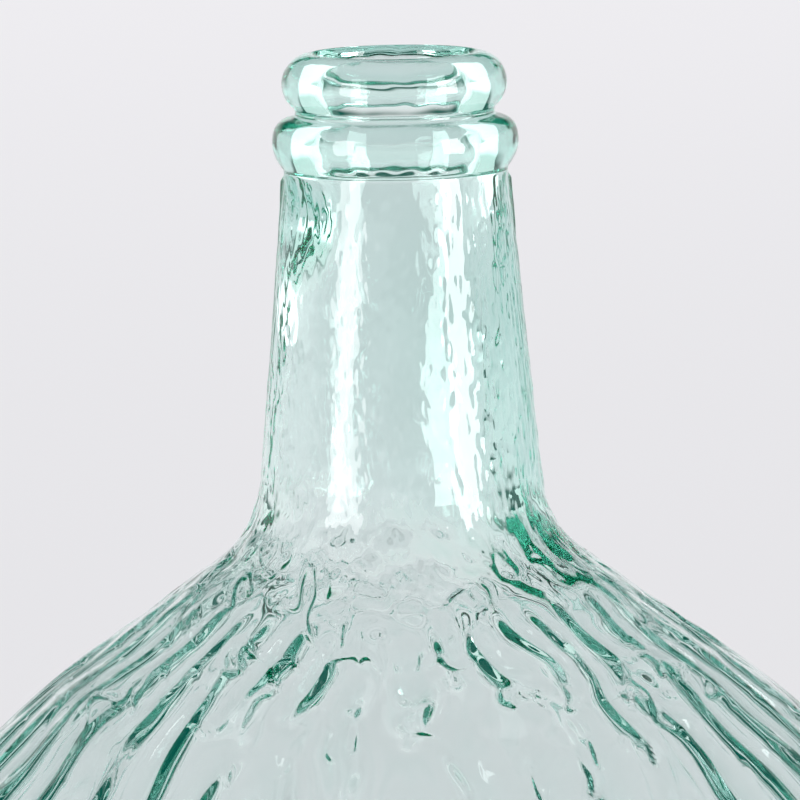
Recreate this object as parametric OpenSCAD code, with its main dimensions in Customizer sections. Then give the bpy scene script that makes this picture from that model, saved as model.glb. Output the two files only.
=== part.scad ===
// Ribbed glass carboy: a blown vessel with a collar ring and a lip ring laid round its mouth.
// The ribs stand on the inner face of the body, and a shallow flute runs down its outer face at each rib.
// Millimetres, +Z up, standing on z = 0 with the vessel's axis on Z.

/* [Body] */
// Outer diameter at the widest part, between two flutes
body_d = 332; // [280:1:400]
// Radius of the shoulder's curve, seen from the side
shoulder_curve_r = 195; // [170:1:230]
// Lean of the shoulder from the vertical where it meets the flare of the neck, in degrees
shoulder_lean = 54.4; // [48:0.2:60]
// Radius of the lower body's curve, seen from the side
lower_curve_r = 220; // [180:1:280]
// Radius of the heel that turns the wall under to the foot
heel_r = 30; // [22:1:40]
// Glass thickness of the body between two ribs
body_wall = 3; // [2.2:0.1:4.5]

/* [Ribs] */
// Number of ribs round the body
rib_count = 36; // [24:2:36]
// Height of a rib on the inner face at the widest part
rib_h = 2.4; // [1:0.1:3.6]
// Depth of the flute outside each rib at the widest part
flute_d = 1.2; // [0.4:0.1:2]
// Drop from the neck over which the ribs rise to their full height
rib_rise = 16; // [10:1:40]
// Height above the heel over which the ribs run out
rib_run_out = 45; // [25:1:70]

/* [Foot] */
// Outer diameter of the flat ring that it stands on
foot_d = 190; // [160:1:220]
// Width of that ring
foot_w = 8; // [5:0.5:14]
// Height of the push-up inside the ring
punt_h = 24; // [12:1:36]
// Glass thickness at the middle of the push-up
punt_wall = 7; // [5:0.5:10]

/* [Neck] */
// Outer diameter just under the collar ring
neck_top_d = 57.3; // [54:0.1:64]
// Outer diameter where the neck starts to flare into the shoulder
neck_root_d = 72.8; // [66:0.1:80]
// Length of the tapered neck, from the collar ring down to the flare
neck_h = 81.8; // [60:0.2:110]
// Outer radius of the flare between neck and shoulder
flare_r = 26.7; // [20:0.1:36]
// Glass thickness where the neck starts to flare
neck_wall = 5.5; // [4.5:0.1:7]

/* [Mouth] */
// Diameter of the bore that takes a bung
bore_d = 40; // [34:0.1:43]
// Outer diameter of the plain tube that the two rings are laid round
finish_d = 51; // [48:0.1:54]
// Rounding of the bore's upper edge
mouth_round = 1.2; // [0.6:0.1:2]

/* [Collar ring] */
// Outer diameter of the collar ring
collar_d = 63.6; // [60:0.1:70]
// Height of the collar ring
collar_h = 12.2; // [10:0.1:13.4]
// Radius of the collar ring's bulging face, seen from the side
collar_bulge_r = 7.6; // [7:0.1:9]

/* [Lip ring] */
// Outer diameter of the lip ring
lip_d = 58; // [55:0.1:64]
// Height of the groove between the lip ring and the collar ring
groove_h = 3.1; // [1.5:0.1:5]

/* [Hidden] */
$fn = 144;
body_r = body_d / 2;
foot_r = foot_d / 2;
neck_top_r = neck_top_d / 2;
neck_root_r = neck_root_d / 2;
bore_r = bore_d / 2;
finish_r = finish_d / 2;
// Small amount by which one cut runs past another
over = 1;

// Lower body: the heel's circle touches the lower curve at lower_turn below the widest part
lower_turn = acos((foot_r - body_r + lower_curve_r) / (lower_curve_r - heel_r));
belly_z = heel_r + (lower_curve_r - heel_r) * sin(lower_turn);
shoulder_c = [body_r - shoulder_curve_r, belly_z];
lower_c = [body_r - lower_curve_r, belly_z];
heel_c = [foot_r, heel_r];

// Neck and flare: a straight stretch of shoulder joins the shoulder's curve to the flare
neck_taper = atan((neck_root_r - neck_top_r) / neck_h);
straight_r = neck_root_r + flare_r * (cos(neck_taper) - cos(shoulder_lean));
curve_end = shoulder_c + shoulder_curve_r * [cos(shoulder_lean), sin(shoulder_lean)];
straight_l = (curve_end.x - straight_r) / sin(shoulder_lean);
straight_top = curve_end + straight_l * [-sin(shoulder_lean), cos(shoulder_lean)];
flare_c = straight_top + flare_r * [cos(shoulder_lean), sin(shoulder_lean)];
neck_root_z = flare_c.y - flare_r * sin(neck_taper);

// Mouth: heights of the collar's seat, the rings and the rim
seat_z = neck_root_z + neck_h;
collar_top_z = seat_z + collar_h;
lip_c_r = bore_r + mouth_round;
lip_bead_r = lip_d / 2 - lip_c_r;
lip_half_h = sqrt(pow(lip_bead_r, 2) - pow(finish_r - lip_c_r, 2));
lip_mid_z = collar_top_z + groove_h + lip_half_h;
rim_z = lip_mid_z + lip_bead_r;

// Push-up: one ball shapes it from below, and another is the vessel's floor inside
punt_r = foot_r - foot_w;
punt_ball_r = (pow(punt_r, 2) + pow(punt_h, 2)) / (2 * punt_h);
floor_h = punt_h + punt_wall - body_wall;
floor_ball_r = (pow(foot_r, 2) + pow(floor_h, 2)) / (2 * floor_h);

// Inside of the neck: its own taper runs from the bore to the neck's root, above a wider flare
bore_taper = atan((neck_root_r - neck_wall - bore_r) / neck_h);
shoulder_out = [cos(shoulder_lean), sin(shoulder_lean)];
bore_out = [cos(bore_taper), sin(bore_taper)];
inside_top = straight_top - body_wall * shoulder_out;
inside_flare_r = flare_r + neck_wall;
shoulder_reach = inside_flare_r + shoulder_out * inside_top;
bore_reach = inside_flare_r + bore_out * [bore_r, seat_z];
inside_flare_c = [
    shoulder_out.y * bore_reach - bore_out.y * shoulder_reach,
    bore_out.x * shoulder_reach - shoulder_out.x * bore_reach] / sin(shoulder_lean - bore_taper);

// Ribbed skin and hollow: where they meet the turned neck and floor, and how finely they are drawn
join_lap = 1.5;
join_inset = 0.05;
floor_inset = 0.8;
skin_join = 2 * join_lap;
hollow_join = (inside_flare_c - inside_top) * [shoulder_out.y, -shoulder_out.x] + 2 * join_lap;
join_turn = lower_turn - 4;
lap_turn = join_lap / lower_curve_r * 180 / PI;
rib_steps = 4;
rib_cols = rib_count * rib_steps;
straight_steps = 3;
shoulder_steps = 9;
lower_steps = 6;
heel_steps = 4;
flare_steps = 9;
rim_steps = 6;
floor_steps = 8;

// Points along a round stretch of the side view, from angle a0 to angle a1
function bend(c, r, a0, a1, n) =
    [for (i = [0:n]) let (a = a0 + (a1 - a0) * i / n) c + r * [cos(a), sin(a)]];

// Point of the straight stretch of shoulder, s below its upper end
function straight_point(top, s) = top + s * [shoulder_out.y, -shoulder_out.x];
rib_top_z = straight_point(inside_top, hollow_join + join_lap).y;
rib_foot_z = belly_z - (lower_curve_r - body_wall) * sin(join_turn - lap_turn);

// Share of the full rib height at height z: it rises below the neck and runs out above the heel
function ease(x) = let (u = min(max(x, 0), 1)) u * u * (3 - 2 * u);
function rib_share(z) = ease((rib_top_z - z) / rib_rise) * ease((z - rib_foot_z) / rib_run_out);

// One level of a ribbed face: a point of the side view, its outward direction and its height of relief
function level(p, a, h) = [p, [cos(a), sin(a)], h * (p.x / body_r) * rib_share(p.y)];
function bend_levels(c, r, a0, a1, n, h) =
    [for (i = [1:n]) let (a = a0 + (a1 - a0) * i / n) level(c + r * [cos(a), sin(a)], a, h)];

// Levels from the neck down to the foot of the wall, t inside the outer face
function body_levels(top, join, t, low_turn, h) = concat(
    [level(straight_point(top, join - join_lap) - join_inset * shoulder_out, shoulder_lean, h)],
    [for (i = [0:straight_steps])
        let (s = join + join_lap + (straight_l - join - join_lap) * i / straight_steps)
        level(straight_point(top, s), shoulder_lean, h)],
    bend_levels(shoulder_c, shoulder_curve_r - t, shoulder_lean, 0, shoulder_steps, h),
    bend_levels(lower_c, lower_curve_r - t, 0, -low_turn, lower_steps, h));

// Ribbed solid through a list of levels, closed flat at both ends; every rib and flute pushes inwards
module ribbed(levels) {
    n = len(levels);
    crest = 1 / cos(180 / rib_steps);
    points = [for (l = levels, j = [0:rib_cols - 1])
        let (turn = (j + 0.5) * 360 / rib_cols,
             p = l[0] - l[1] * l[2] / 2 * (1 + crest * cos(rib_count * turn)))
        [p.x * cos(turn), p.x * sin(turn), p.y]];
    sides = [for (i = [0:n - 2], j = [0:rib_cols - 1])
        let (a = i * rib_cols + j, b = i * rib_cols + (j + 1) % rib_cols)
        each [[a, b, b + rib_cols], [a, b + rib_cols, a + rib_cols]]];
    top = [for (j = [rib_cols - 1:-1:0]) j];
    foot = [for (j = [0:rib_cols - 1]) (n - 1) * rib_cols + j];
    polyhedron(points, concat([top], sides, [foot]));
}

// Fluted outside of the body, from the neck down to the foot
module skin() {
    ribbed(concat(
        body_levels(straight_top, skin_join, 0, lower_turn, flute_d),
        bend_levels(heel_c, heel_r, -lower_turn, -90, heel_steps, 0)));
}

// Ribbed hollow of the body, from the neck down to just above the heel
module hollow() {
    t = body_wall;
    ribbed(concat(
        body_levels(inside_top, hollow_join, t, join_turn - lap_turn, rib_h),
        bend_levels(lower_c, lower_curve_r - t - floor_inset, -join_turn, -join_turn - lap_turn, 1, 0)));
}

// Side view of the neck's outside, out from the axis: stub of shoulder, flare, taper, tube and rim
module neck_side() {
    low = straight_point(straight_top, skin_join);
    rim_start = acos((finish_r - lip_c_r) / lip_bead_r);
    polygon(concat(
        [[0, low.y], low],
        bend(flare_c, -flare_r, shoulder_lean, neck_taper, flare_steps),
        [[neck_top_r, seat_z], [finish_r, seat_z]],
        bend([lip_c_r, lip_mid_z], lip_bead_r, rim_start, 90, rim_steps),
        [[0, rim_z]]));
}

// Side view of the hollow above the ribs, out from the axis: stub of shoulder, flare, neck, bore and rim
module mouth_side() {
    low = straight_point(inside_top, hollow_join);
    polygon(concat(
        [[0, low.y], low],
        bend(inside_flare_c, -inside_flare_r, shoulder_lean, bore_taper, flare_steps),
        [[bore_r, seat_z]],
        bend([lip_c_r, rim_z - mouth_round], mouth_round, 180, 90, rim_steps),
        [[lip_c_r, rim_z + over], [0, rim_z + over]]));
}

// Side view of the hollow below the ribs, out from the axis: domed floor, heel and foot of the wall
module floor_side() {
    floor_c = [0, punt_h + punt_wall - floor_ball_r];
    wall_foot = bend(lower_c, lower_curve_r - body_wall, -lower_turn, -join_turn, 2);
    polygon(concat(
        bend(floor_c, floor_ball_r, 90, acos(foot_r / floor_ball_r), floor_steps),
        bend(heel_c, heel_r - body_wall, -90, -lower_turn, heel_steps),
        wall_foot,
        [[0, wall_foot[2].y]]));
}

// Side view of the push-up, out from the axis
module punt_side() {
    intersection() {
        translate([0, punt_h - punt_ball_r]) circle(punt_ball_r);
        translate([0, -over]) square([body_r, punt_h + 2 * over]);
    }
}

// Blown vessel: ribbed body, neck and plain mouth tube in one skin of glass, with a push-up under it
module vessel() {
    color([0.6, 0.84, 0.78, 0.45])
    difference() {
        union() {
            skin();
            rotate_extrude() neck_side();
        }
        union() {
            hollow();
            rotate_extrude() mouth_side();
            rotate_extrude() floor_side();
        }
        rotate_extrude() punt_side();
    }
}

// Thick ring of glass laid round the tube, resting on the step at the top of the neck
module collar_ring() {
    color([0.5, 0.76, 0.69, 0.5])
    rotate_extrude() intersection() {
        translate([collar_d / 2 - collar_bulge_r, seat_z + collar_h / 2]) circle(collar_bulge_r);
        translate([finish_r, seat_z]) square([collar_d, collar_h]);
    }
}

// Bead of glass laid round the top of the tube, turned flush with its rim
module lip_ring() {
    color([0.5, 0.76, 0.69, 0.5])
    rotate_extrude() intersection() {
        translate([lip_c_r, lip_mid_z]) circle(lip_bead_r);
        translate([finish_r, lip_mid_z - lip_bead_r]) square([lip_d, 2 * lip_bead_r]);
    }
}

vessel();
collar_ring();
lip_ring();
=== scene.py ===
import math
import bpy
import numpy as np
from mathutils import Matrix, Vector


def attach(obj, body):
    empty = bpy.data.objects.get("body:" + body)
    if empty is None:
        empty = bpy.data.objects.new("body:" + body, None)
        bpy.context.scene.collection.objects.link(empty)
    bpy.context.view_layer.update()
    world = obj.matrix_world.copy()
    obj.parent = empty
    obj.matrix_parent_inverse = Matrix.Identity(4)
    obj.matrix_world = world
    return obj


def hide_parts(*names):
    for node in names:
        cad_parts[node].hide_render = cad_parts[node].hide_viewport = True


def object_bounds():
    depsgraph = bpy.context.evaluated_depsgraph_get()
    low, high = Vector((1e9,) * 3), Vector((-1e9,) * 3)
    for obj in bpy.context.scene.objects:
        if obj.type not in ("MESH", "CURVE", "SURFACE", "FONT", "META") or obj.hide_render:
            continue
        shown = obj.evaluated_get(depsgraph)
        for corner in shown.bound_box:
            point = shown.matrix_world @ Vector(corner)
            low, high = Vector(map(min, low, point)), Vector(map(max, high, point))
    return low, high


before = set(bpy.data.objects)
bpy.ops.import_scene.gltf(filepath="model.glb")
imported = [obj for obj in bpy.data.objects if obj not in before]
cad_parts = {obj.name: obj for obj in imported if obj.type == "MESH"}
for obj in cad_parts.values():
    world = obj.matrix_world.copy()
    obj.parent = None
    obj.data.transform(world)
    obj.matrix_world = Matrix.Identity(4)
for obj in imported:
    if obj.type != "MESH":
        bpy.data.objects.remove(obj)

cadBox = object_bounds()
print("frame loaded:", ", ".join(sorted(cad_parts)))

millimetre = 0.001


# side view of the glass, in millimetres
vesselForm = {
    "bodyRadius": 166.0, "shoulderCurve": 195.0, "shoulderLean": 54.4,
    "lowerCurve": 220.0, "heel": 30.0, "bodyWall": 3.0,
    "footRadius": 95.0, "footWidth": 8.0, "puntHeight": 24.0, "puntWall": 7.0,
    "neckTop": 28.65, "neckRoot": 36.4, "neckLength": 81.8, "flare": 26.7,
    "bore": 20.0, "boreFoot": 22.0, "tube": 25.5, "mouthRound": 1.2,
    # radius, and height from the seat of the collar
    "neckInside": (
        (20.5, 18.0), (21.6, 8.0), (22.1, 0.0), (22.4, -8.0),
        (23.4, -26.0), (25.4, -48.0), (27.3, -63.0), (28.6, -72.0),
    ),
    "flareWall": 7.0, "flareTurn": 8.0, "flareRows": 60,
    "collarHeight": 12.2,
    "collarSide": (
        (29.0, 0.0), (30.1, 1.6), (31.2, 3.8), (31.75, 6.4),
        (31.5, 9.0), (30.7, 11.1), (28.9, 12.6), (26.6, 13.3),
    ),
    "collarTop": 13.6,
    "lipRadius": 28.98, "groove": 3.1,
    # rows of the mesh, and how far the corners melt
    "rowStep": 0.4, "skinMelt": 0.8, "liningMelt": 1.2, "neckMelt": 7.0,
    "meltSeat": (2.0, 8.0), "meltBelly": 40.0, "fineBelowSeat": 4.0, "fineBelowFlare": 36.0,
}


def bend(centre, radius, start, end, step=0.4):
    count = max(3, int(abs(math.radians(end - start) * radius) / step))
    angle = np.radians(np.linspace(start, end, count + 1))
    return np.stack([centre[0] + radius * np.cos(angle), centre[1] + radius * np.sin(angle)], axis=1)


def straight(start, end, step=0.4):
    count = max(1, int(math.dist(start, end) / step))
    t = np.linspace(0, 1, count + 1)[:, None]
    return np.array(start) * (1 - t) + np.array(end) * t


def glide(points, steps=8):
    # smooth curve through a few points
    p = np.array(points, dtype=float)
    slope = np.gradient(p, axis=0)
    t = np.linspace(0, 1, steps, endpoint=False)[:, None]
    runs = [(1 - t) ** 2 * ((1 + 2 * t) * a + t * sa) + t ** 2 * ((3 - 2 * t) * b - (1 - t) * sb)
            for a, b, sa, sb in zip(p, p[1:], slope, slope[1:])]
    return np.concatenate(runs + [p[-1:]])


def measure(form):
    f = dict(form)
    turn = math.acos((f["footRadius"] - f["bodyRadius"] + f["lowerCurve"]) / (f["lowerCurve"] - f["heel"]))
    lean = math.radians(f["shoulderLean"])
    f["lowerTurn"] = math.degrees(turn)
    f["bellyZ"] = f["heel"] + (f["lowerCurve"] - f["heel"]) * math.sin(turn)
    f["shoulderC"] = (f["bodyRadius"] - f["shoulderCurve"], f["bellyZ"])
    f["lowerC"] = (f["bodyRadius"] - f["lowerCurve"], f["bellyZ"])
    f["heelC"] = (f["footRadius"], f["heel"])
    taper = math.atan((f["neckRoot"] - f["neckTop"]) / f["neckLength"])
    f["taper"] = math.degrees(taper)
    topR = f["neckRoot"] + f["flare"] * (math.cos(taper) - math.cos(lean))
    endR = f["shoulderC"][0] + f["shoulderCurve"] * math.cos(lean)
    endZ = f["shoulderC"][1] + f["shoulderCurve"] * math.sin(lean)
    length = (endR - topR) / math.sin(lean)
    f["straightTopZ"] = endZ + length * math.cos(lean)
    f["flareC"] = (topR + f["flare"] * math.cos(lean), f["straightTopZ"] + f["flare"] * math.sin(lean))
    f["neckRootZ"] = f["flareC"][1] - f["flare"] * math.sin(taper)
    f["seatZ"] = f["neckRootZ"] + f["neckLength"]
    f["lipC"] = f["bore"] + f["mouthRound"]
    f["lipBead"] = f["lipRadius"] - f["lipC"]
    f["lipHalf"] = math.sqrt(f["lipBead"] ** 2 - (f["tube"] - f["lipC"]) ** 2)
    f["lipZ"] = f["seatZ"] + f["collarHeight"] + f["groove"] + f["lipHalf"]
    f["rimZ"] = f["lipZ"] + f["lipBead"]
    return f


def outerSide(f):
    puntR = f["footRadius"] - f["footWidth"]
    ball = (puntR ** 2 + f["puntHeight"] ** 2) / (2 * f["puntHeight"])
    lipEdge = math.degrees(math.asin(f["lipHalf"] / f["lipBead"]))
    runs = [
        bend((0, f["puntHeight"] - ball), ball, 90, math.degrees(math.acos(puntR / ball))),
        straight((puntR, 0), (f["footRadius"], 0)),
        bend(f["heelC"], f["heel"], -90, -f["lowerTurn"]),
        bend(f["lowerC"], f["lowerCurve"], -f["lowerTurn"], 0),
        bend(f["shoulderC"], f["shoulderCurve"], 0, f["shoulderLean"]),
        bend(f["flareC"], -f["flare"], f["shoulderLean"], f["taper"]),
        straight((f["neckRoot"], f["neckRootZ"]), (f["neckTop"], f["seatZ"])),
        glide(f["collarSide"]) + (0, f["seatZ"]),
        straight((f["tube"], f["seatZ"] + f["collarTop"]), (f["tube"], f["lipZ"] - f["lipHalf"])),
        bend((f["lipC"], f["lipZ"]), f["lipBead"], -lipEdge, 90),
    ]
    return np.concatenate(runs)


def innerSide(f):
    wall = f["bodyWall"]
    rise = f["puntHeight"] + f["puntWall"] - wall
    ball = (f["footRadius"] ** 2 + rise ** 2) / (2 * rise)
    # the wall thins down the flare
    turn = np.radians(np.linspace(f["taper"] + f["flareTurn"], f["shoulderLean"], f["flareRows"]))
    reach = f["flare"] + np.linspace(f["flareWall"], wall, f["flareRows"])
    mouthZ = f["rimZ"] - f["mouthRound"]
    runs = [
        bend((f["lipC"], mouthZ), f["mouthRound"], 90, 180),
        straight((f["bore"], mouthZ), (f["bore"], f["seatZ"] + f["boreFoot"])),
        glide(f["neckInside"]) + (0, f["seatZ"]),
        np.array(f["flareC"]) - reach[:, None] * np.stack([np.cos(turn), np.sin(turn)], axis=1),
        bend(f["shoulderC"], f["shoulderCurve"] - wall, f["shoulderLean"], 0),
        bend(f["lowerC"], f["lowerCurve"] - wall, 0, -f["lowerTurn"]),
        bend(f["heelC"], f["heel"] - wall, -f["lowerTurn"], -90),
        bend((0, wall + rise - ball), ball, math.degrees(math.acos(f["footRadius"] / ball)), 90),
    ]
    return np.concatenate(runs)


def evenOut(points, step):
    gaps = np.linalg.norm(np.diff(points, axis=0), axis=1)
    points = points[np.concatenate([[True], gaps > 1e-6])]
    along = np.concatenate([[0], np.cumsum(np.linalg.norm(np.diff(points, axis=0), axis=1))])
    at = np.linspace(0, along[-1], int(along[-1] / step) + 1)
    return np.stack([np.interp(at, along, points[:, i]) for i in (0, 1)], axis=1)


def soften(points, width, step):
    # melts the corners between runs, with both ends held
    reach = int(3 * width / step)
    kernel = np.exp(-0.5 * (np.arange(-reach, reach + 1) * step / width) ** 2)
    kernel /= kernel.sum()
    before = 2 * points[0] - points[reach:0:-1]
    after = 2 * points[-1] - points[-2:-reach - 2:-1]
    padded = np.concatenate([before, points, after])
    smooth = np.stack([np.convolve(padded[:, i], kernel, mode="valid") for i in (0, 1)], axis=1)
    smooth[0], smooth[-1] = points[0], points[-1]
    return smooth


def thin(points, finishZ, neckZ):
    # keeps every row at the mouth, fewer on the neck and fewest on the body
    keep = []
    for i, z in enumerate(points[:, 1]):
        every = 1 if z > finishZ else 2 if z > neckZ else 4
        if i % every == 0 or i == len(points) - 1:
            keep.append(i)
    return points[keep]


def drawSide(f):
    step = f["rowStep"]
    outer = soften(evenOut(outerSide(f), step), f["skinMelt"], step)
    inner = soften(evenOut(innerSide(f), step), f["liningMelt"], step)
    # the lining of neck and shoulder runs softer still
    under, over = f["meltSeat"]
    share = np.clip((f["seatZ"] - under - inner[:, 1]) / over, 0, 1)
    share = share * np.clip((inner[:, 1] - f["bellyZ"]) / f["meltBelly"], 0, 1)
    inner = inner + share[:, None] * (soften(inner, f["neckMelt"], step) - inner)
    finishZ, neckZ = f["seatZ"] - f["fineBelowSeat"], f["straightTopZ"] - f["fineBelowFlare"]
    return thin(outer, finishZ, neckZ), thin(inner, finishZ, neckZ)


form = measure(vesselForm)
outer, inner = drawSide(form)
side = np.concatenate([outer, inner[1:]])
isInner = np.arange(len(side)) >= len(outer)
tangent = np.gradient(side, axis=0)
tangent /= np.linalg.norm(tangent, axis=1)[:, None]
normal = np.stack([tangent[:, 1], -tangent[:, 0]], axis=1)
print("side view:", len(outer), "outer rows and", len(inner), "inner rows, rim at", round(form["rimZ"], 1), "mm")


# ribs, ripples and seams of the blown glass, in millimetres
glassForm = {
    "columns": 640, "skinInset": 0.3, "boreShift": -2.4,
    "ribCount": 36, "ribHeight": -1.2, "ribInside": 2.4,
    "ribStart": 5.0, "ribRise": 16.0, "ribRunOut": 45.0, "ribFoot": 5.0,
    "ribSwell": 0.75, "ribSwellLength": (46.0, 84.0), "ribSwellSeed": 23, "ribSlant": 1.2,
    "ribFront": 0.85, "ribFrontTurn": (0.80, 0.15), "ribFrontDrop": (12.0, 20.0),
    # ripples: height, size, seed and stretch
    "ribSway": (1.2, 34.0, 21, (1, 1, 1.5)), "ribSwayFrom": 30.0,
    "neckDimple": (0.028, 7.0, 3, (1, 1, 1.6)),
    "neckPeen": (0.036, 2.4, 5, (1, 1, 2.4)),
    "flareRipple": (0.13, 12.0, 7, (1, 1, 0.8)),
    "bodyWave": (0.05, 26.0, 11, (1, 1, 1)),
    "finishWave": (0.02, 7.0, 25, (1, 1, 0.6)),
    "innerFinish": (0.02, 7.0, 27, (1, 1, 0.8)),
    "innerWave": (0.10, 16.0, 13, (1, 1, 3)),
    "innerPeen": (0.012, 3.2, 15, (1, 1, 1.6)),
    "innerRipple": (0.13, 12.0, 17, (1, 1, 1)),
    "innerBody": (0.075, 26.0, 19, (1, 1, 1)),
    # threads of glass on the inner face, in patches
    "cordHeight": 0.62, "cordWidth": 0.35, "cordLine": (1.0, 13.0, 31, (0.6, 2.2, 2.2)),
    "cordPatch": (1.0, 24.0, 33, (1, 1, 1)), "cordPatchFrom": (0.1, 0.6),
    # a thick place at the left of the neck
    "bulge": 2.4, "bulgeDrop": 14.0, "bulgeSize": 9.0, "bulgeTurn": (0.55, 0.4),
    "seamHeight": 0.9, "seamWidth": 0.9, "seamStep": (1.5, 2.0), "seamLow": 0.12, "seamFall": 14.0, "seamFoot": 60.0,
    # zones up the height: start and rise, end and fall
    "neckZone": (-8.0, 14.0, -1.0, 6.0),
    "flareZone": (-46.0, 30.0, 14.0, 22.0),
    "finishZone": (-1.0, 3.0, 0.0, 3.0),
    "cordZone": (-56.0, 14.0, 8.0, 10.0),
    "boreZone": (-12.0, 24.0, -4.0, 40.0),
    "bodyZone": (10.0, 30.0),
    "heldCentre": 12.0, "heldFoot": 8.0,
}


def ease(x):
    u = np.clip(x, 0, 1)
    return u * u * (3 - 2 * u)


def ripples(points, size, seed, stretch, waves=28):
    # smooth random swell of about unit height, the same in every run
    rng = np.random.default_rng(seed)
    heading = rng.normal(size=(waves, 3))
    heading /= np.linalg.norm(heading, axis=1)[:, None]
    heading *= 2 * math.pi / size * rng.uniform(0.6, 1.5, (waves, 1))
    phase = rng.uniform(0, 2 * math.pi, waves)
    swell = np.zeros(len(points))
    for k, p in zip(heading / np.array(stretch), phase):
        swell += np.cos(points @ k + p)
    return swell * math.sqrt(2 / waves)


def blowGlass(side, normal, isInner, f, g):
    turn = 2 * math.pi * np.arange(g["columns"]) / g["columns"]
    r, z = side[:, :1], side[:, 1:]
    cosT, sinT = np.cos(turn)[None, :], np.sin(turn)[None, :]
    flat = np.stack(np.broadcast_arrays(r * cosT, r * sinT, z * np.ones_like(cosT)), axis=-1)
    points = flat.reshape(-1, 3)
    inside = isInner[:, None]
    topZ, seatZ = f["straightTopZ"], f["seatZ"]

    def field(layer):
        height, size, seed, stretch = layer
        return height * ripples(points, size, seed, stretch).reshape(flat.shape[:2])

    def zone(low, high, span):
        start, rise, end, fall = span
        return ease((z - low - start) / rise) * ease((high + end - z) / fall)

    onNeck = zone(topZ, seatZ, g["neckZone"])
    onFlare = zone(topZ, f["neckRootZ"], g["flareZone"])
    onFinish = zone(seatZ, f["rimZ"], g["finishZone"])
    onBody = ease((topZ + g["bodyZone"][0] - z) / g["bodyZone"][1])

    # each rib wanders and swells a little along its length
    sway = field(g["ribSway"]) / np.maximum(r, g["ribSwayFrom"])
    ribTurn = g["ribCount"] * (turn[None, :] + sway)
    crest = 0.5 + 0.5 * np.cos(ribTurn)
    rng = np.random.default_rng(g["ribSwellSeed"])
    pick = np.round(ribTurn / (2 * math.pi)).astype(int) % g["ribCount"]
    length = rng.uniform(*g["ribSwellLength"], g["ribCount"])[pick]
    phase = rng.uniform(0, 2 * math.pi, g["ribCount"])[pick]
    swell = 1 + g["ribSwell"] * np.sin(2 * math.pi * (r - z) / g["ribSlant"] / length + phase)

    # they rise below the flare, run out above the heel and are lower in front and behind
    ribShare = ease((topZ - g["ribStart"] - z) / g["ribRise"]) * ease(z / g["ribRunOut"])
    ribShare = np.where(r < f["footRadius"] + g["ribFoot"], ribShare * (z > f["bellyZ"]), ribShare)
    turnFrom, turnOver = g["ribFrontTurn"]
    dropFrom, dropOver = g["ribFrontDrop"]
    low = ease((np.abs(sinT) - turnFrom) / turnOver) * ease((topZ - dropFrom - z) / dropOver)
    rib = ribShare * swell * crest * (1 - (1 - g["ribFront"]) * low)

    skin = g["ribHeight"] * rib - g["skinInset"] * onBody
    skin = skin + onNeck * field(g["neckDimple"])
    skin = skin + onNeck * field(g["neckPeen"])
    skin = skin + onFlare * field(g["flareRipple"])
    skin = skin + onBody * field(g["bodyWave"])
    skin = skin + onFinish * field(g["finishWave"])

    # two seams of the mould, highest where they stop under the collar
    seamTop, seamOver = g["seamStep"]
    seamShare = g["seamLow"] + (1 - g["seamLow"]) * np.exp(-(seatZ - z) / g["seamFall"])
    seamShare = seamShare * ease((seatZ - seamTop - z) / seamOver) * ease(z / g["seamFoot"])
    skin = skin + g["seamHeight"] * seamShare * np.exp(-0.5 * (np.abs(sinT) * r / g["seamWidth"]) ** 2)

    lining = g["ribInside"] * rib
    lining = lining + onFinish * field(g["innerFinish"])
    lining = lining + onNeck * field(g["innerWave"])
    lining = lining + onNeck * field(g["innerPeen"])
    lining = lining + onFlare * field(g["innerRipple"])
    lining = lining + onBody * field(g["innerBody"])
    bulgeFrom, bulgeOver = g["bulgeTurn"]
    bulge = np.exp(-((z - seatZ + g["bulgeDrop"]) / g["bulgeSize"]) ** 2) * ease((-cosT - bulgeFrom) / bulgeOver)
    lining = lining + g["bulge"] * bulge
    patchFrom, patchOver = g["cordPatchFrom"]
    onCord = zone(topZ, topZ, g["cordZone"]) * ease((field(g["cordPatch"]) - patchFrom) / patchOver)
    lining = lining + g["cordHeight"] * onCord * np.exp(-(field(g["cordLine"]) / g["cordWidth"]) ** 2)

    push = np.where(inside, lining, skin)
    push = push * ease(r / g["heldCentre"]) * np.where(inside, 1, ease(z / g["heldFoot"]))
    moved = flat.copy()
    moved[..., 0] += push * normal[:, :1] * cosT
    moved[..., 1] += push * normal[:, :1] * sinT
    moved[..., 2] += push * normal[:, 1:]
    # the bore of the neck stands a little to the left
    moved[..., 0] += inside * g["boreShift"] * zone(topZ, seatZ, g["boreZone"])
    return moved


def turnMesh(name, moved):
    rows, columns = moved.shape[:2]
    ring = moved[1:-1].reshape(-1, 3)
    poles = np.stack([moved[0].mean(axis=0), moved[-1].mean(axis=0)])
    verts = np.concatenate([ring, poles]) * millimetre
    count = rows - 2
    i = np.arange(count - 1)[:, None] * columns
    j = np.arange(columns)[None, :]
    k = (j + 1) % columns
    quads = np.stack([i + j, i + k, i + columns + k, i + columns + j], axis=-1).reshape(-1, 4)
    firstPole, lastPole = count * columns, count * columns + 1
    last = (count - 1) * columns
    fans = [(firstPole, (c + 1) % columns, c) for c in range(columns)]
    fans += [(lastPole, last + c, last + (c + 1) % columns) for c in range(columns)]
    mesh = bpy.data.meshes.new(name)
    mesh.from_pydata(verts.tolist(), [], quads.tolist() + fans)
    mesh.validate()
    mesh.shade_smooth()
    piece = bpy.data.objects.new(name, mesh)
    bpy.context.scene.collection.objects.link(piece)
    return piece


carboy = turnMesh("blownCarboy", blowGlass(side, normal, isInner, form, glassForm))
print("blown glass:", len(carboy.data.vertices), "points")


# clear aqua glass, with its colour in the thickness
aquaGlass = {
    "ior": 1.52,
    "tint": (0.146, 0.771, 0.650),
    "depth": 23.0,
}


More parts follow.
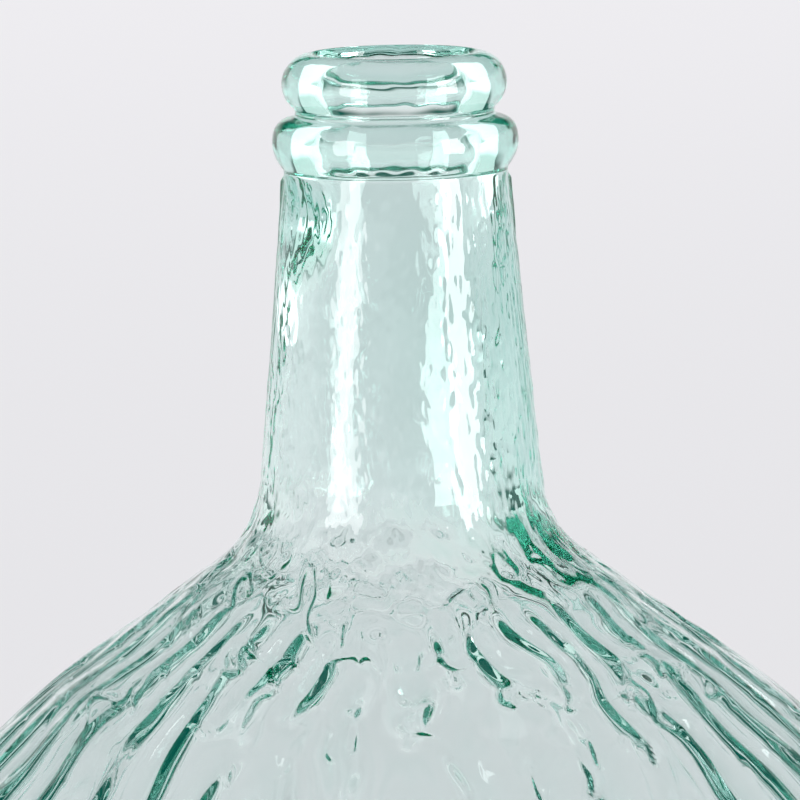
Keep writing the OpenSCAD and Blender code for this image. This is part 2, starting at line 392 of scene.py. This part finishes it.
def makeGlass(name, look):
    material = bpy.data.materials.new(name)
    material.use_nodes = True
    nodes, links = material.node_tree.nodes, material.node_tree.links
    shader = nodes["Principled BSDF"]
    shader.inputs["Base Color"].default_value = (1, 1, 1, 1)
    shader.inputs["Roughness"].default_value = 0.0
    shader.inputs["IOR"].default_value = look["ior"]
    shader.inputs["Transmission Weight"].default_value = 1.0
    tint = nodes.new("ShaderNodeVolumeAbsorption")
    tint.inputs["Color"].default_value = (*look["tint"], 1)
    tint.inputs["Density"].default_value = look["depth"]
    links.new(tint.outputs["Volume"], nodes["Material Output"].inputs["Volume"])
    return material


carboy.data.materials.append(makeGlass("aquaGlass", aquaGlass))
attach(carboy, "root")
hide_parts("vessel", "collar_ring", "lip_ring")
print("glass set")


# floor and light, in metres
studio = {
    # painted light: the far paper colour and its fade make the floor paler far behind by colour alone
    "paperSize": 40.0, "paper": (0.862, 0.868, 0.876), "paintedLightFarPaper": (0.945, 0.945, 0.955), "paintedLightFade": (0.5, 7.0),
    "paperRoughness": 0.9, "paperSpread": 1.4, "paperEdge": (0.8, 2.2),
    # painted shade: the dark green room colour is shown only to rays through or off the glass
    "sky": (0.91, 0.90, 0.92), "paintedGlassShade": (0.002, 0.095, 0.072),
    "horizon": (0.10, 0.22), "backdropTop": (0.36, 0.50), "backdropSide": (0.86, 0.96),
    "front": (0.0, 0.4), "overhead": (0.12, 0.32),
    "boxSize": (0.56, 1.3), "boxDistance": 1.5, "boxHeight": 0.55, "boxAim": 0.4,
    "boxPower": (12.0, 21.0), "boxAngles": (-47.0, 56.0),
    "cardSize": (0.22, 0.22), "cardSide": 0.13, "cardBack": 0.09, "cardHeight": 0.50, "cardLevel": 0.90,
}


def makeRamp(nodes, links, value, low, high):
    # 0 below low, 1 above high
    ramp = nodes.new("ShaderNodeMapRange")
    ramp.interpolation_type = "SMOOTHSTEP"
    ramp.inputs["From Min"].default_value = low
    ramp.inputs["From Max"].default_value = high
    links.new(value, ramp.inputs["Value"])
    return ramp.outputs["Result"]


def makeMath(nodes, links, kind, first, second):
    node = nodes.new("ShaderNodeMath")
    node.operation = kind
    for socket, value in zip(node.inputs, (first, second)):
        if isinstance(value, (int, float)):
            socket.default_value = value
        else:
            links.new(value, socket)
    return node.outputs["Value"]


def makeMix(nodes, links, share, first, second):
    mix = nodes.new("ShaderNodeMix")
    mix.data_type = "RGBA"
    links.new(share, mix.inputs["Factor"])
    for label, value in (("A", first), ("B", second)):
        socket = [i for i in mix.inputs if i.name == label and i.type == "RGBA"][0]
        if isinstance(value, tuple):
            socket.default_value = (*value, 1)
        else:
            links.new(value, socket)
    return mix.outputs["Result"]


def makeFloor(look):
    size = look["paperSize"]
    mesh = bpy.data.meshes.new("paperFloor")
    mesh.from_pydata([(-size, -size, 0), (size, -size, 0), (size, size, 0), (-size, size, 0)], [], [(0, 1, 2, 3)])
    floor = bpy.data.objects.new("paperFloor", mesh)
    bpy.context.scene.collection.objects.link(floor)
    floor.location.z = cadBox[0][2]
    material = bpy.data.materials.new("palePaper")
    material.use_nodes = True
    nodes, links = material.node_tree.nodes, material.node_tree.links
    shader = nodes["Principled BSDF"]
    shader.inputs["Roughness"].default_value = look["paperRoughness"]
    shader.inputs["Specular IOR Level"].default_value = 0.0
    # painted light: the paper is coloured a little deeper close by than far behind, a falloff of light painted into
    # the floor
    place = nodes.new("ShaderNodeSeparateXYZ")
    links.new(nodes.new("ShaderNodeNewGeometry").outputs["Position"], place.inputs[0])
    paintedFarLight = makeRamp(nodes, links, place.outputs["Y"], *look["paintedLightFade"])
    colour = makeMix(nodes, links, paintedFarLight, look["paper"], look["paintedLightFarPaper"])
    # painted shade: to the glass alone the paper ends to the sides and in front in a dark green, which darkens its
    # edges
    reach = makeMath(nodes, links, "MULTIPLY", place.outputs["Y"], look["paperSpread"])
    aside = makeMath(nodes, links, "ABSOLUTE", place.outputs["X"], 0.0)
    beyond = makeMath(nodes, links, "SUBTRACT", aside, reach)
    past = makeRamp(nodes, links, beyond, *look["paperEdge"])
    path = nodes.new("ShaderNodeLightPath")
    paintedShadeShare = makeMath(nodes, links, "MULTIPLY", past, path.outputs["Is Transmission Ray"])
    colour = makeMix(nodes, links, paintedShadeShare, colour, look["paintedGlassShade"])
    links.new(colour, shader.inputs["Base Color"])
    mesh.materials.append(material)


def makeWorld(look):
    world = bpy.data.worlds.new("studioAir")
    bpy.context.scene.world = world
    world.use_nodes = True
    nodes, links = world.node_tree.nodes, world.node_tree.links
    place = nodes.new("ShaderNodeSeparateXYZ")
    links.new(nodes.new("ShaderNodeTexCoord").outputs["Generated"], place.inputs[0])
    path = nodes.new("ShaderNodeLightPath")
    refracted = path.outputs["Is Transmission Ray"]
    # painted shade: through the glass a pale backdrop rises behind, and the rest of the room is painted dark green
    above = makeRamp(nodes, links, place.outputs["Z"], *look["horizon"])
    behind = makeRamp(nodes, links, place.outputs["Y"], *look["backdropSide"])
    over = makeRamp(nodes, links, place.outputs["Z"], *look["backdropTop"])
    aside = makeMath(nodes, links, "SUBTRACT", 1.0, behind)
    aside = makeMath(nodes, links, "MAXIMUM", aside, over)
    dark = makeMath(nodes, links, "MULTIPLY", above, aside)
    through = makeMath(nodes, links, "MULTIPLY", dark, refracted)
    # painted shade: what the glass mirrors is painted dark green in front and overhead; a refracted ray counts as
    # glossy too
    forward = makeMath(nodes, links, "MULTIPLY", place.outputs["Y"], -1.0)
    ahead = makeRamp(nodes, links, forward, *look["front"])
    overhead = makeRamp(nodes, links, place.outputs["Z"], *look["overhead"])
    bounced = makeMath(nodes, links, "SUBTRACT", path.outputs["Is Glossy Ray"], refracted)
    dark = makeMath(nodes, links, "MAXIMUM", ahead, overhead)
    mirrored = makeMath(nodes, links, "MULTIPLY", dark, bounced)
    # light that comes off the floor keeps the pale room, so that the floor under the glass stays lit
    direct = makeMath(nodes, links, "LESS_THAN", path.outputs["Diffuse Depth"], 0.5)
    share = makeMath(nodes, links, "MAXIMUM", through, mirrored)
    share = makeMath(nodes, links, "MULTIPLY", share, direct)
    colour = makeMix(nodes, links, share, look["sky"], look["paintedGlassShade"])
    links.new(colour, nodes["Background"].inputs["Color"])
    nodes["Background"].inputs["Strength"].default_value = 1.0


def makeBox(name, look, angle, power):
    # soft box in front, for a long highlight
    light = bpy.data.lights.new(name, "AREA")
    light.shape = "RECTANGLE"
    light.size, light.size_y = look["boxSize"]
    light.energy = power
    box = bpy.data.objects.new(name, light)
    bpy.context.scene.collection.objects.link(box)
    a = math.radians(angle)
    box.location = (look["boxDistance"] * math.sin(a), -look["boxDistance"] * math.cos(a), look["boxHeight"])
    aim = Vector((0, 0, look["boxAim"])) - box.location
    box.rotation_euler = aim.to_track_quat("-Z", "Y").to_euler()
    box.visible_diffuse = False  # no hot spot on the floor


def makeCard(name, look, hand):
    # small white card beside the lip, seen only through the glass
    wide, tall = look["cardSize"]
    light = bpy.data.lights.new(name, "AREA")
    light.shape = "RECTANGLE"
    light.size, light.size_y = wide, tall
    light.energy = look["cardLevel"] * math.pi * wide * tall
    card = bpy.data.objects.new(name, light)
    bpy.context.scene.collection.objects.link(card)
    card.location = (hand * look["cardSide"], look["cardBack"], look["cardHeight"])
    card.rotation_euler = Vector((-hand, 0, 0)).to_track_quat("-Z", "Y").to_euler()
    card.visible_camera = False
    card.visible_glossy = False
    card.visible_diffuse = False


makeFloor(studio)
makeWorld(studio)
for label, hand in (("leftCard", -1), ("rightCard", 1)):
    makeCard(label, studio, hand)
for label, angle, power in zip(("leftBox", "rightBox"), studio["boxAngles"], studio["boxPower"]):
    makeBox(label, studio, angle, power)


# camera, in metres and degrees, and how often light may pass a wall of glass
view = {
    "distance": 1.8, "aboveRim": 0.158, "aimBelowRim": 0.090, "width": 0.20624, "roll": -1.05, "clipEnd": 200.0,
    "bounces": 128, "glassBounces": 96,
}


def makeCamera(look):
    rim = form["rimZ"] * millimetre
    camera = bpy.data.objects.new("photoCamera", bpy.data.cameras.new("photoCamera"))
    bpy.context.scene.collection.objects.link(camera)
    camera.location = (0, -look["distance"], rim + look["aboveRim"])
    aim = Vector((0, 0, rim - look["aimBelowRim"])) - camera.location
    turned = aim.to_track_quat("-Z", "Y").to_matrix() @ Matrix.Rotation(math.radians(look["roll"]), 3, "Z")
    camera.rotation_euler = turned.to_euler()
    camera.data.sensor_fit = "HORIZONTAL"
    camera.data.angle = 2 * math.atan(look["width"] / 2 / aim.length)
    camera.data.clip_end = look["clipEnd"]
    bpy.context.scene.camera = camera


makeCamera(view)
scene = bpy.context.scene
scene.view_settings.view_transform = "Standard"
scene.cycles.max_bounces = view["bounces"]
scene.cycles.transmission_bounces = view["glassBounces"]
scene.cycles.glossy_bounces = view["glassBounces"]
print("studio set")
